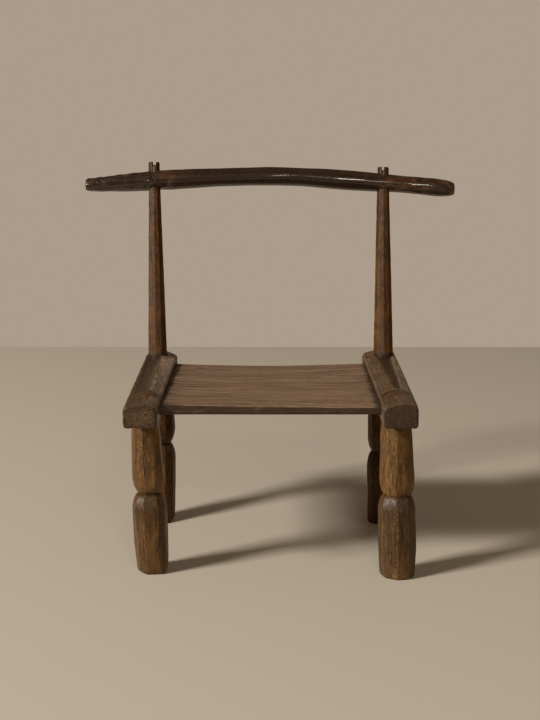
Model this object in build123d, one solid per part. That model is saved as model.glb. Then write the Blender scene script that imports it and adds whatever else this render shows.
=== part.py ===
from build123d import *

import os
from math import asin, degrees, hypot

# A low carved wooden chair. Two side rails carry a seat plank. Each front leg runs up through
# its rail as a round tenon. Each back upright is one stick: a lobed leg below the rail, and
# above it a tapered post that leans back. A bowed crest rail is threaded over the two posts
# and wedged there.
# Millimetres, +Z up, the sitter faces -Y. The origin is under the middle, on the floor.

# ---- Driving dimensions ---------------------------------------------------------------

# Side rails
RAIL_FRONT_Y = -241.5
RAIL_BACK_Y = {"left": 178.0, "right": 188.5}
RAIL_BOTTOM_Z = 226.0
RAIL_OUTER_X = {"left": -208.8, "right": 210.6}
RAIL_INNER_FRONT_X = {"left": -160.0, "right": 161.0}
RAIL_INNER_BACK_X = {"left": -156.0, "right": 156.0}
RAIL_EDGE_ROUND = 2.5
RAIL_END_ROUND = 12.0
RAIL_FRONT_EASE = 3.0
PLAN_MARGIN = 1.0

# Rail top: heights of the outer edge, the ridge and the inner edge, and the ridge's place
RAIL_TOP_OUTER_Z = {"left": 256.0, "right": 258.5}
RAIL_TOP_RIDGE_Z = {"left": 262.4, "right": 263.0}
RAIL_TOP_INNER_Z = {"left": 254.0, "right": 254.5}
RAIL_RIDGE_X = {"left": -178.5, "right": 185.0}

# Scooped channel along each rail's top, from the upright forward to the front leg's tenon
CHANNEL_FRONT_Y = -140.0
CHANNEL_BACK_Y = 150.0
CHANNEL_BACK_WIDTH = {"left": 27.0, "right": 28.0}
CHANNEL_FRONT_WIDTH = {"left": 18.0, "right": 9.0}
CHANNEL_BACK_X = {"left": -193.0, "right": 189.5}
CHANNEL_FRONT_X = {"left": -192.0, "right": 190.0}
CHANNEL_DEPTH = 4.0
CHANNEL_FRONT_DEPTH = 2.6

# Seat plank, dished a little at the front and more at the back
SEAT_FRONT_Y = -191.0
SEAT_BACK_Y = 141.0
SEAT_HALF_LENGTH = 164.0
SEAT_FRONT_TOP_Z = {"left": 250.7, "right": 246.2}
SEAT_BACK_TOP_Z = {"left": 246.0, "right": 246.8}
SEAT_FRONT_DISH = 1.0
SEAT_BACK_DISH = 4.6
SEAT_FRONT_BOTTOM_Z = 234.5
SEAT_BACK_BOTTOM_Z = 231.0
SEAT_EDGE_ROUND = 2.2

# Legs: ten hewn sides, two lobes with a waist between. The rings of the lower lobe are
# (height, share of the lower belly's radius). The rings about the waist are (height over the
# waist, how far the radius has grown from the waist's to the belly's on that side).
LEG_SIDES = 10
LOWER_LOBE_RINGS = [(0.0, 0.85), (6.0, 0.93), (42.0, 0.98)]
UNDER_WAIST_RINGS = [(-27.0, 1.0), (-11.0, 0.8)]
OVER_WAIST_RINGS = [(0.0, 0.0), (12.0, 0.75), (31.0, 1.0)]

# Heights at which the centres of the legs' feet and tops are given
FOOT_Z = 0.0
LEG_TOP_Z = 260.0

# name: foot centre x y, top centre x y, waist height, then the radii at the rail, the upper
# belly, the waist and the lower belly, and how far the facets are turned
LEGS = {
    "front_leg_left": (-172.0, -194.5, -185.0, -162.0, 115.5, 20.4, 24.6, 15.0, 26.2, 4.0),
    "front_leg_right": (187.3, -216.0, 184.5, -163.0, 116.0, 22.2, 26.4, 19.8, 28.4, 11.0),
    "back_upright_left": (-178.5, 52.0, -187.5, 141.0, 121.0, 21.8, 25.0, 17.0, 26.0, 8.0),
    "back_upright_right": (183.5, 46.5, 189.5, 141.0, 110.0, 21.8, 25.0, 17.5, 26.0, 15.0),
}
FRONT_TENON_RADIUS = 19.5

# Back posts: the upper part of each upright, from its neck in the rail to its slotted tenon
POST_SIDES = 12
POST_SHOULDER_Z = 531.0
POST_NECK_RADIUS = 16.4
POST_TOP_RADIUS = 10.3
POST_TENON_RADIUS = 9.6
POST_TENON_ROOT_Z = 500.0
# side: centre x y and height at the crest rail's middle, and the top of the tenon
POSTS = {
    "left": (-195.3, 224.0, 545.0, 574.5),
    "right": (191.2, 224.0, 541.0, 566.1),
}

# Slot across each tenon's end, and the wedge that is driven down into it
SLOT_BOTTOM_Z = 536.0
SLOT_BOTTOM_WIDTH = {"left": 3.4, "right": 1.4}
SLOT_TOP_WIDTH = {"left": 6.1, "right": 4.3}
SLOT_REACH_Y = 60.0
WEDGE_TOP_Z = {"left": 569.5, "right": 560.5}

# Crest rail: the centre line's points (x, z) and the bar's radius at each
CREST_Y = 224.0
CREST = [
    (-310.7, 536.4, 10.7),
    (-291.6, 537.2, 12.2),
    (-252.4, 539.6, 14.6),
    (-182.4, 544.4, 16.8),
    (-103.0, 548.5, 15.8),
    (0.0, 550.9, 15.9),
    (103.0, 546.3, 16.6),
    (164.8, 541.7, 16.1),
    (237.0, 536.3, 14.3),
    (293.6, 530.8, 14.1),
    (310.4, 529.2, 10.9),
]


# ---- Helpers --------------------------------------------------------------------------


def between(start, end, share):
    return start + (end - start) * share


def point_at(z, low, high):
    """The point at height z on the line through low and high."""
    share = (z - low[2]) / (high[2] - low[2])
    return between(low[0], high[0], share), between(low[1], high[1], share), z


def tapered_slab(low_z, high_z, low_width, high_width, depth):
    """A slab across Y whose width along X grows from low_z to high_z."""
    outline = Polyline(
        (-low_width / 2, low_z),
        (low_width / 2, low_z),
        (high_width / 2, high_z),
        (-high_width / 2, high_z),
        close=True,
    )
    return extrude(make_face(Plane.XZ * outline), amount=depth / 2, both=True)


# ---- Side rails -----------------------------------------------------------------------


def rail_section(side, y, inner_x):
    """The rail's cross-section at depth y: flat below, a low ridge on top."""
    outer_x = RAIL_OUTER_X[side]
    outline = Polyline(
        (inner_x, RAIL_BOTTOM_Z),
        (outer_x, RAIL_BOTTOM_Z),
        (outer_x, RAIL_TOP_OUTER_Z[side]),
        (RAIL_RIDGE_X[side], RAIL_TOP_RIDGE_Z[side]),
        (inner_x, RAIL_TOP_INNER_Z[side]),
        close=True,
    )
    face = make_face(Plane.XZ * outline)
    face = fillet(face.vertices(), RAIL_EDGE_ROUND)
    return Pos(0, y, 0) * face


def channel(side):
    """The tool that scoops the channel in a rail's top: a long cone lying along Y."""
    ends = []
    for y, x, width, depth in (
        (CHANNEL_FRONT_Y, CHANNEL_FRONT_X[side], CHANNEL_FRONT_WIDTH[side], CHANNEL_FRONT_DEPTH),
        (CHANNEL_BACK_Y, CHANNEL_BACK_X[side], CHANNEL_BACK_WIDTH[side], CHANNEL_DEPTH),
    ):
        radius = (width**2 / 4 + depth**2) / (2 * depth)
        top_z = between(
            RAIL_TOP_OUTER_Z[side],
            RAIL_TOP_RIDGE_Z[side],
            (x - RAIL_OUTER_X[side]) / (RAIL_RIDGE_X[side] - RAIL_OUTER_X[side]),
        )
        ends.append(Pos(x, y, top_z + radius - depth) * (Plane.XZ * Circle(radius)))
    return loft(ends, ruled=True)


def inner_face_x(side, y):
    """The inner face runs straight from its place at the front end to that at the back."""
    share = (y - RAIL_FRONT_Y) / (RAIL_BACK_Y[side] - RAIL_FRONT_Y)
    return between(RAIL_INNER_FRONT_X[side], RAIL_INNER_BACK_X[side], share)


def rail_plan(side):
    """An upright block that gives the rail's ends: rounded at the back, eased at the front."""
    outward = -1 if side == "left" else 1
    outer_x = RAIL_OUTER_X[side] + outward * PLAN_MARGIN
    front_y, back_y = RAIL_FRONT_Y, RAIL_BACK_Y[side]
    corners = Polyline(
        (outer_x, front_y),
        (inner_face_x(side, front_y) - outward * PLAN_MARGIN, front_y),
        (inner_face_x(side, back_y) - outward * PLAN_MARGIN, back_y),
        (outer_x, back_y),
        close=True,
    )
    plan = make_face(corners)
    plan = fillet(plan.vertices().group_by(Axis.Y)[-1], RAIL_END_ROUND)
    plan = fillet(plan.vertices().group_by(Axis.Y)[0], RAIL_FRONT_EASE)
    block = extrude(plan, amount=RAIL_TOP_RIDGE_Z[side] - RAIL_BOTTOM_Z + 2 * PLAN_MARGIN)
    return Pos(0, 0, RAIL_BOTTOM_Z - PLAN_MARGIN) * block


def rail_bar(side):
    """The rail's full bar, a little longer than the rail and not yet scooped."""
    past_front, past_back = RAIL_FRONT_Y - PLAN_MARGIN, RAIL_BACK_Y[side] + PLAN_MARGIN
    return loft(
        [rail_section(side, y, inner_face_x(side, y)) for y in (past_front, past_back)],
        ruled=True,
    )


def side_rail(side):
    return (rail_bar(side) & rail_plan(side)) - channel(side)


# ---- Seat plank -----------------------------------------------------------------------


def seat_section(y, left_z, right_z, dish, bottom_z):
    top = ThreePointArc(
        (-SEAT_HALF_LENGTH, left_z),
        (0, (left_z + right_z) / 2 - dish),
        (SEAT_HALF_LENGTH, right_z),
    )
    rest = Polyline(
        top @ 1,
        (SEAT_HALF_LENGTH, bottom_z),
        (-SEAT_HALF_LENGTH, bottom_z),
        top @ 0,
    )
    return Pos(0, y, 0) * make_face(Plane.XZ * (top + rest))


def seat_plank():
    ends = [
        seat_section(
            SEAT_FRONT_Y,
            SEAT_FRONT_TOP_Z["left"],
            SEAT_FRONT_TOP_Z["right"],
            SEAT_FRONT_DISH,
            SEAT_FRONT_BOTTOM_Z,
        ),
        seat_section(
            SEAT_BACK_Y,
            SEAT_BACK_TOP_Z["left"],
            SEAT_BACK_TOP_Z["right"],
            SEAT_BACK_DISH,
            SEAT_BACK_BOTTOM_Z,
        ),
    ]
    plank = loft(ends, ruled=True)
    long_edges = plank.edges().filter_by(lambda edge: edge.length > SEAT_HALF_LENGTH * 1.99)
    long_edges = long_edges.filter_by(lambda edge: abs(edge.center().X) < 1)
    return fillet(long_edges, SEAT_EDGE_ROUND)


# ---- Legs -----------------------------------------------------------------------------


def leg_ends(name):
    """The centres of a leg's foot and of its top."""
    foot_x, foot_y, top_x, top_y = LEGS[name][:4]
    return (foot_x, foot_y, FOOT_Z), (top_x, top_y, LEG_TOP_Z)


def lobed_leg(name):
    waist_z, top_r, belly_r, waist_r, lower_r, turn = LEGS[name][4:]
    levels = [(z, lower_r * share) for z, share in LOWER_LOBE_RINGS]
    levels += [(waist_z + rise, between(waist_r, lower_r, s)) for rise, s in UNDER_WAIST_RINGS]
    levels += [(waist_z + rise, between(waist_r, belly_r, s)) for rise, s in OVER_WAIST_RINGS]
    levels.append((RAIL_BOTTOM_Z, top_r))
    sections = [
        Pos(*point_at(z, *leg_ends(name))) * RegularPolygon(radius, LEG_SIDES, rotation=turn)
        for z, radius in levels
    ]
    return loft(sections, ruled=True)


def front_leg(side):
    """A lobed leg whose round tenon runs up through the rail and is dressed off flush."""
    name = f"front_leg_{side}"
    rings = [
        Pos(*point_at(z, *leg_ends(name))) * Circle(FRONT_TENON_RADIUS)
        for z in (RAIL_BOTTOM_Z, RAIL_TOP_RIDGE_Z[side] + PLAN_MARGIN)
    ]
    return lobed_leg(name) + (loft(rings, ruled=True) & rail_bar(side))


# ---- Back uprights and wedges ---------------------------------------------------------


def post_point(side, z):
    """The point at height z on the post's middle line."""
    rail_point = leg_ends(f"back_upright_{side}")[1]
    return point_at(z, rail_point, POSTS[side][:3])


def post_tenon(side):
    """The round bar that passes through the crest rail, before it is slotted."""
    rings = [
        Pos(*post_point(side, z)) * Circle(POST_TENON_RADIUS)
        for z in (POST_TENON_ROOT_Z, POSTS[side][3])
    ]
    return loft(rings, ruled=True)


def back_upright(side):
    levels = [
        (RAIL_BOTTOM_Z, POST_NECK_RADIUS),
        (LEG_TOP_Z, POST_NECK_RADIUS),
        (POST_SHOULDER_Z, POST_TOP_RADIUS),
    ]
    rings = [Pos(*post_point(side, z)) * RegularPolygon(r, POST_SIDES) for z, r in levels]
    return lobed_leg(f"back_upright_{side}") + loft(rings, ruled=True) + post_tenon(side) - slot(side)


def slot(side):
    """The space sawn out across the tenon's end, wider at the top."""
    crest_x, crest_y, _, top_z = POSTS[side]
    cut = tapered_slab(
        SLOT_BOTTOM_Z, top_z, SLOT_BOTTOM_WIDTH[side], SLOT_TOP_WIDTH[side], SLOT_REACH_Y
    )
    return Pos(crest_x, crest_y, 0) * cut


def crest_wedge(side):
    """A thin wedge that fills the slot to just under the tenon's end."""
    crest_x, crest_y, _, top_z = POSTS[side]
    wedge_share = (WEDGE_TOP_Z[side] - SLOT_BOTTOM_Z) / (top_z - SLOT_BOTTOM_Z)
    width = between(SLOT_BOTTOM_WIDTH[side], SLOT_TOP_WIDTH[side], wedge_share)
    slab = tapered_slab(
        SLOT_BOTTOM_Z, WEDGE_TOP_Z[side], SLOT_BOTTOM_WIDTH[side], width, SLOT_REACH_Y
    )
    return (Pos(crest_x, crest_y, 0) * slab) & post_tenon(side)


# ---- Crest rail -----------------------------------------------------------------------


def crest_rail():
    sections = []
    for place, (x, z, radius) in enumerate(CREST):
        before = CREST[max(place - 1, 0)]
        after = CREST[min(place + 1, len(CREST) - 1)]
        run, rise = after[0] - before[0], after[1] - before[1]
        tilt = degrees(asin(rise / hypot(run, rise)))
        ring = Rot(0, 90 - tilt, 0) * Circle(radius)
        sections.append(Pos(x, CREST_Y, z) * ring)
    return loft(sections)


# ---- Assembly -------------------------------------------------------------------------


def build_parts():
    parts = {"seat_plank": seat_plank()}
    crest = crest_rail()
    for side in ("left", "right"):
        leg = front_leg(side)
        upright = back_upright(side)
        wedge = crest_wedge(side)
        crest = crest - upright - wedge
        parts[f"front_leg_{side}"] = leg
        parts[f"back_upright_{side}"] = upright
        parts[f"crest_wedge_{side}"] = wedge
        parts[f"side_rail_{side}"] = side_rail(side) - parts["seat_plank"] - leg - upright
    parts["crest_rail"] = crest
    return parts


os.makedirs("parts", exist_ok=True)
for name, shape in build_parts().items():
    shape.label = name
    export_step(shape, f"parts/{name}.step")
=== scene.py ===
from itertools import product
from math import cos, pi, radians, sin

import bpy
import bmesh
import numpy as np
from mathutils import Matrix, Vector
from mathutils.bvhtree import BVHTree


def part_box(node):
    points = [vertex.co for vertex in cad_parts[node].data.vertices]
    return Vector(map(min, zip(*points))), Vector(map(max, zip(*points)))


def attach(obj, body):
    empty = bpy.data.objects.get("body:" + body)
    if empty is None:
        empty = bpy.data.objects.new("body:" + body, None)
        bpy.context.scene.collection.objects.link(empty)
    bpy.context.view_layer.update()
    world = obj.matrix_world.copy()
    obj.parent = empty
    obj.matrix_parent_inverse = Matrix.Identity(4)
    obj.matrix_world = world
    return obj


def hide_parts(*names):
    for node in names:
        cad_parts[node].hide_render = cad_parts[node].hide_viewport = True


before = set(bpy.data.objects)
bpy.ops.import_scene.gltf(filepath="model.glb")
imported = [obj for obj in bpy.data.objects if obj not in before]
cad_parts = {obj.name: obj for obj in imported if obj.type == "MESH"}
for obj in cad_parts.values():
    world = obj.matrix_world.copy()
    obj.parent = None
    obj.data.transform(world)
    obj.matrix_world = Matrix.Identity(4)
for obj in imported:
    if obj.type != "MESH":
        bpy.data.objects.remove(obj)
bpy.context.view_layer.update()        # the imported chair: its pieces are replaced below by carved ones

MM = 0.001

# ---- Seeded noise ---------------------------------------------------------------------

LATTICE = np.random.default_rng(11).random((24, 24, 24)) * 2 - 1


def noise(points):
    """Smooth noise in -1..1 at each of the points (..., 3); it repeats every LATTICE side."""
    cell = np.floor(points).astype(int)
    part = points - cell
    part = part * part * (3 - 2 * part)
    total = np.zeros(points.shape[:-1])
    for corner in product((0, 1), repeat=3):
        weight = np.ones(points.shape[:-1])
        for axis in range(3):
            share = part[..., axis]
            weight = weight * (share if corner[axis] else 1 - share)
        index = tuple((cell[..., axis] + corner[axis]) % len(LATTICE) for axis in range(3))
        total += weight * LATTICE[index]
    return total


def noise_at(*coordinates):
    """Noise of three coordinates given apart; they are broadcast against each other."""
    return noise(np.stack(np.broadcast_arrays(*coordinates), -1).astype(float))


def smooth_step(low, high, value):
    share = np.clip((value - low) / (high - low), 0, 1)
    return share * share * (3 - 2 * share)


def rounded(gap, radius):
    """How far a rounded end draws in: 1 at the end itself, 0 from a gap of radius onward."""
    return 1 - np.sqrt(1 - (1 - np.clip(gap / radius, 0, 1)) ** 2)


# ---- Mesh makers ----------------------------------------------------------------------

# Points closer than this are one point, in metres
WELD = 2e-6


def skin(name, rows, layers):
    """A closed mesh over rings (rows, columns, 3), in mm. The first and last ring are each
    drawn together into one point. Layers are values per ring point, kept as attributes."""
    count, around = rows.shape[:2]
    points = np.concatenate([rows[:1].mean(1), rows[1:-1].reshape(-1, 3), rows[-1:].mean(1)])
    ring = lambda row, col: 1 + (row - 1) * around + col % around
    last = len(points) - 1
    faces = [(0, ring(1, c + 1), ring(1, c)) for c in range(around)]
    for row in range(1, count - 2):
        for c in range(around):
            faces.append((ring(row, c), ring(row, c + 1), ring(row + 1, c + 1), ring(row + 1, c)))
    faces += [(ring(count - 2, c), ring(count - 2, c + 1), last) for c in range(around)]
    mesh = bpy.data.meshes.new(name)
    mesh.from_pydata((points * MM).tolist(), [], faces)
    tidy = bmesh.new()
    tidy.from_mesh(mesh)
    bmesh.ops.recalc_face_normals(tidy, faces=tidy.faces)
    tidy.to_mesh(mesh)
    tidy.free()
    for label, values in layers.items():
        flat = np.concatenate(
            [values[:1].mean(1), values[1:-1].reshape(-1), values[-1:].mean(1)]
        )
        mesh.attributes.new(label, "FLOAT", "POINT").data.foreach_set(
            "value", flat.astype(np.float32)
        )
    mesh.polygons.foreach_set("use_smooth", [True] * len(mesh.polygons))
    obj = bpy.data.objects.new(name, mesh)
    bpy.context.scene.collection.objects.link(obj)
    return obj


def points_of(obj):
    flat = np.zeros(len(obj.data.vertices) * 3)
    obj.data.vertices.foreach_get("co", flat)
    return flat.reshape(-1, 3) / MM


def normals_of(obj):
    flat = np.zeros(len(obj.data.vertices) * 3)
    obj.data.vertices.foreach_get("normal", flat)
    return flat.reshape(-1, 3)


def layer_of(obj, label):
    flat = np.zeros(len(obj.data.vertices))
    obj.data.attributes[label].data.foreach_get("value", flat)
    return flat


def push(obj, amount):
    """Moves every vertex along its own normal by amount, in mm."""
    moved = points_of(obj) + normals_of(obj) * amount[:, None]
    obj.data.vertices.foreach_set("co", (moved * MM).ravel())
    obj.data.update()


def cut(obj, cutters):
    """Cuts the cutters out of obj and throws them away."""
    for cutter in cutters:
        modifier = obj.modifiers.new("cut", "BOOLEAN")
        modifier.operation, modifier.solver, modifier.object = "DIFFERENCE", "EXACT", cutter
    graph = bpy.context.evaluated_depsgraph_get()
    graph.update()
    made = bpy.data.meshes.new_from_object(obj.evaluated_get(graph))
    obj.modifiers.clear()
    obj.data = made
    for cutter in cutters:
        bpy.data.objects.remove(cutter)
    keep_one_skin(obj)


def part_edge(mesh, edge):
    """Gives two of the triangles that crowd an edge a point of their own at its middle."""
    first, second = edge.verts
    runs_forward = {loop.face: loop.vert == first for loop in edge.link_loops}
    one = edge.link_faces[0]
    facing = [face for face in edge.link_faces if runs_forward[face] != runs_forward[one]]
    other = max(facing, key=lambda face: face.normal.dot(one.normal))
    middle = mesh.verts.new((first.co + second.co) / 2, first)
    for face in (one, other):
        for old in (first, second):
            mesh.faces.new([middle if vert == old else vert for vert in face.verts], face)
    bmesh.ops.delete(mesh, geom=[one, other], context="FACES_ONLY")


def keep_one_skin(obj):
    """Joins touching points, drops the slivers that cutting leaves beside the main skin, and
    turns it into triangles of which exactly two meet at every edge."""
    mesh = bmesh.new()
    mesh.from_mesh(obj.data)
    bmesh.ops.remove_doubles(mesh, verts=mesh.verts, dist=WELD)
    bmesh.ops.dissolve_degenerate(mesh, edges=mesh.edges, dist=WELD)
    islands, left = [], set(mesh.faces)
    while left:
        island, reached = set(), [left.pop()]
        while reached:
            face = reached.pop()
            island.add(face)
            for other in {other for edge in face.edges for other in edge.link_faces} & left:
                left.remove(other)
                reached.append(other)
        islands.append(island)
    largest = max(islands, key=len)
    strays = [face for island in islands if island is not largest for face in island]
    if strays:
        bmesh.ops.delete(mesh, geom=strays, context="FACES")
    bmesh.ops.triangulate(mesh, faces=mesh.faces, ngon_method="BEAUTY")
    mesh.normal_update()
    for edge in [edge for edge in mesh.edges if len(edge.link_faces) > 2]:
        part_edge(mesh, edge)
    mesh.to_mesh(obj.data)
    mesh.free()


def lay_grain(obj, origin, along):
    """Keeps grain-aligned coordinates in mm at every vertex: across, across, along."""
    along = np.array(along, float) / np.linalg.norm(along)
    helper = np.array([0.0, 0.0, 1.0]) if abs(along[2]) < 0.8 else np.array([1.0, 0.0, 0.0])
    side = np.cross(along, helper)
    side /= np.linalg.norm(side)
    up = np.cross(side, along)
    local = points_of(obj) - np.array(origin)
    grain = np.stack([local @ side, local @ up, local @ along], -1)
    layer = obj.data.attributes.new("grain", "FLOAT_VECTOR", "POINT")
    layer.data.foreach_set("vector", grain.astype(np.float32).ravel())


def prism(low, high, low_outline, high_outline):
    """A straight-sided cutter between two level outlines of equal length."""
    count = len(low_outline)
    points = [(x, y, low) for x, y in low_outline] + [(x, y, high) for x, y in high_outline]
    faces = [tuple(range(count))[::-1], tuple(range(count, 2 * count))]
    for c in range(count):
        d = (c + 1) % count
        faces.append((c, d, count + d, count + c))
    mesh = bpy.data.meshes.new("cutter")
    mesh.from_pydata((np.array(points) * MM).tolist(), [], faces)
    obj = bpy.data.objects.new("cutter", mesh)
    bpy.context.scene.collection.objects.link(obj)
    return obj


def round_cutter(low_point, high_point, radius, sides=64):
    """A slanting round cutter with level ends."""
    turns = [2 * pi * c / sides for c in range(sides)]
    low, high = (
        [(point[0] + radius * cos(t), point[1] + radius * sin(t)) for t in turns]
        for point in (low_point, high_point)
    )
    return prism(low_point[2], high_point[2], low, high)


def outline(corners, rounds, spans, bend=7):
    """Points round a polygon with rounded corners, spans[i] of them on the side after corner
    i, and for each point how near it is to an arris."""
    corners = [np.array(corner, float) for corner in corners]
    toward = lambda a, b: (b - a) / np.linalg.norm(b - a)
    points, near = [], []
    for i, corner in enumerate(corners):
        before, after = corners[i - 1], corners[(i + 1) % len(corners)]
        start = corner + toward(corner, before) * rounds[i]
        end = corner + toward(corner, after) * rounds[i]
        for t in np.linspace(0, 1, bend):
            points.append((1 - t) ** 2 * start + 2 * t * (1 - t) * corner + t * t * end)
            near.append(sin(pi * t))
        following = after + toward(after, corner) * rounds[(i + 1) % len(corners)]
        for t in np.linspace(0, 1, spans[i] + 2)[1:-1]:
            points.append(end + (following - end) * t)
            near.append(0.0)
    return np.array(points), np.array(near)


# ---- Hewn round pieces ----------------------------------------------------------------


# Points round each hewn ring
AROUND = 176
TURNS = np.arange(AROUND) * 2 * pi / AROUND


def ring_noise(stations, spread, stretch, shift=(0, 0)):
    """Noise on a round bar's skin: fineness round it, length along it in mm, and which noise."""
    x, y = np.cos(TURNS) * spread + shift[0], np.sin(TURNS) * spread + shift[1]
    return noise_at(x, y, stations[:, None] / stretch)


def hewn(turns, heights, count, seed, stroke=24.0, depth=0.02, crisp=34, uneven=0.16):
    """Shares of the full radius round a bar hewn to flats (rows, columns), and how near each
    point is to an arris. Each flat is a run of strokes whose depth changes along the bar."""
    chance = np.random.default_rng(seed)
    normals = np.arange(count) * 2 * pi / count + chance.uniform(-uneven, uneven, count)
    apothems = cos(pi / count) * (1 + chance.uniform(-depth, depth, count))
    total = np.zeros((len(heights), len(turns)))
    largest = np.zeros_like(total)
    for k in range(count):
        wave = noise_at(heights / stroke + 31 * k, k * 3.7 + seed, 0.5)
        wander = 0.05 * noise_at(heights / (2.2 * stroke), k * 5.1 + seed, 9.5)
        apothem = apothems[k] * (1 + depth * 0.8 * wave)
        facing = np.clip(np.cos(turns[None, :] - normals[k] - wander[:, None]), 0, None)
        term = (facing / apothem[:, None]) ** crisp
        total += term
        largest = np.maximum(largest, term)
    return total ** (-1 / crisp), 2 * (1 - largest / total)


def even_rows(heights, radii, spacing):
    """Fewer stations of a profile, evenly spaced along its outline."""
    length = np.concatenate([[0], np.cumsum(np.hypot(np.diff(heights), np.diff(radii)))])
    wanted = np.linspace(0, length[-1], max(int(length[-1] / spacing), 2))
    return np.interp(wanted, length, heights), np.interp(wanted, length, radii)


def cad_ring(node, height):
    """(height, centre x, centre y, radius) of a CAD node's level ring at that height, in mm."""
    points = np.array([v.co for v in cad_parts[node].data.vertices]) / MM
    ring = points[np.abs(points[:, 2] - height) < 0.06][:, :2]
    centre = (ring.min(0) + ring.max(0)) / 2
    return height, *centre, np.linalg.norm(ring - centre, axis=1).max()


def cad_profile(node, foot, rail):
    """The CAD leg's radius at every millimetre of height between two of its rings."""
    probe = BVHTree.FromObject(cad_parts[node], bpy.context.evaluated_depsgraph_get())
    heights = np.arange(foot[0] + 0.5, rail[0] - 0.4, 1.0)
    radii = []
    for z in heights:
        x, y = on_line(foot, rail, z)
        reach = []
        for turn in np.linspace(0, 2 * pi, 40, endpoint=False):
            way = Vector((cos(turn), sin(turn), 0))
            hit = probe.ray_cast((Vector((x, y, z)) + way * 60) * MM, -way)[3]
            reach.append(60 - hit / MM)
        radii.append(max(reach))
    return heights, np.array(radii)


def on_line(low, high, z):
    """The (x, y) at height z on the line through two rings; z may be an array."""
    share = (np.asarray(z, float) - low[0]) / (high[0] - low[0])
    return low[1] + (high[1] - low[1]) * share, low[2] + (high[2] - low[2]) * share


def lobe_profile(node, foot, rail):
    """The lobed leg's outline up to the rail: a blunt foot, a round-shouldered lower lobe, a
    sharp waist and a longer upper lobe. Returns fine-stepped heights and radii."""
    heights, radii = cad_profile(node, foot, rail)
    middle = (heights > 80) & (heights < 160)
    waist_z = heights[middle][radii[middle].argmin()]
    waist = radii[middle].min()
    lower, upper = np.interp([waist_z - 27, waist_z + 31], heights, radii)
    shoulder_z, chin_z = waist_z - 22, waist_z + 25
    z = np.arange(0.0, rail[0] + 0.05, 0.1)
    r = np.interp(z, [0, 20, 60, shoulder_z], np.array([0.90, 0.95, 0.99, 1.0]) * lower)
    r = r - 3.4 * rounded(z, 6.0)
    down = np.clip((waist_z - z) / (waist_z - shoulder_z), 0, 1)
    top_of_lower = waist + (lower - waist) * (1 - (1 - down) ** 1.75) ** (1 / 1.6)
    up = np.clip((z - waist_z) / (chin_z - waist_z), 0, 1)
    belly = np.interp(z, [chin_z, chin_z + 25, rail[0]], [upper, upper * 0.985, radii[-1]])
    foot_of_upper = waist + (belly - waist) * (1 - (1 - up) ** 1.8) ** (1 / 1.45)
    r = np.where(z > shoulder_z, top_of_lower, r)
    return z, np.where(z > waist_z, foot_of_upper, r), waist_z


# Radii in mm: the front leg's tenon and its bore, the post's tenon and its bore, and the
# clearance round a post's neck
LEG_TENON, RAIL_BORE, POST_TENON, CREST_BORE, CLEAR = 19.3, 19.65, 9.4, 9.75, 0.35
# A height inside the crest rail at both posts, and how far its cutters run past it, in mm
CREST_HEIGHT, PAST = 540, 20
RAIL_BOTTOM = round(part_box("side_rail_left")[0].z / MM, 1)
# Heights of the two rings between which a back post tapers, in mm
NECK_HEIGHT, SHOULDER_HEIGHT = 260.0, 531.0
# How dark (below zero) or pale each leg's lower and upper lobe is
LEG_MOODS = {
    "front_leg_left": (-0.38, 0.25),
    "front_leg_right": (-0.65, 0.35),
    "back_upright_left": (-0.35, -0.1),
    "back_upright_right": (-0.5, -0.1),
}


def leg_surface(node, foot, rail, seed, cracks):
    """Rows of radii for a leg's two lobes, with the arris, groove and crack layers."""
    moods = LEG_MOODS[node]
    z, r, waist_z = lobe_profile(node, foot, rail)
    z, r = even_rows(z, r, 1.25)
    low_share, low_near = hewn(TURNS, z, 9, seed, stroke=22.0, depth=0.042, crisp=50)
    high_share, high_near = hewn(TURNS, z, 9, seed + 5, stroke=28.0, depth=0.040, crisp=50)
    upper = (z > waist_z)[:, None]
    share = np.where(upper, high_share, low_share)
    near = np.where(upper, high_near, low_near)
    around = r[:, None] * share
    around += 0.3 * noise_at(around * np.cos(TURNS) / 6, around * np.sin(TURNS) / 6, z[:, None] / 14)
    around += 0.9 * ring_noise(z, 1.1, 42, (seed, 0))
    groove = 0.45 * np.exp(-(((z - waist_z) / 2.2) ** 2))[:, None] * np.ones(AROUND)
    for turn, low_z, high_z, depth in cracks:
        wander = 0.05 * noise_at(z / 9, seed, 2.0)
        away = np.abs((TURNS[None, :] - turn - wander[:, None] + pi) % (2 * pi) - pi) * r[:, None]
        span = smooth_step(low_z, low_z + 7, z) * (1 - smooth_step(high_z - 7, high_z, z))
        line = np.exp(-((away / 0.55) ** 2)) * span[:, None]
        around -= depth * line
        groove = np.maximum(groove, line)
    chip = smooth_step(0.25, 0.6, ring_noise(z, 4, 6, (seed, 0)))
    around -= 0.9 * chip * near * smooth_step(0.4, 0.9, near)
    mood = ring_noise(z, 1.3, 50, (0, seed))
    tone = np.where(z < waist_z, *moods)[:, None] + 0.25 * mood
    foot_chip = smooth_step(0.0, 0.6, noise_at(np.cos(TURNS) * 3, np.sin(TURNS) * 3 + seed, 4.4))
    around -= (2.2 * foot_chip)[None, :] * (1 - smooth_step(2, 10, z))[:, None]
    near = np.maximum(near, 0.75 * (1 - smooth_step(4, 22, z))[:, None] * smooth_step(0.1, 0.5, mood))
    return z, around, near, groove, tone


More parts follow.
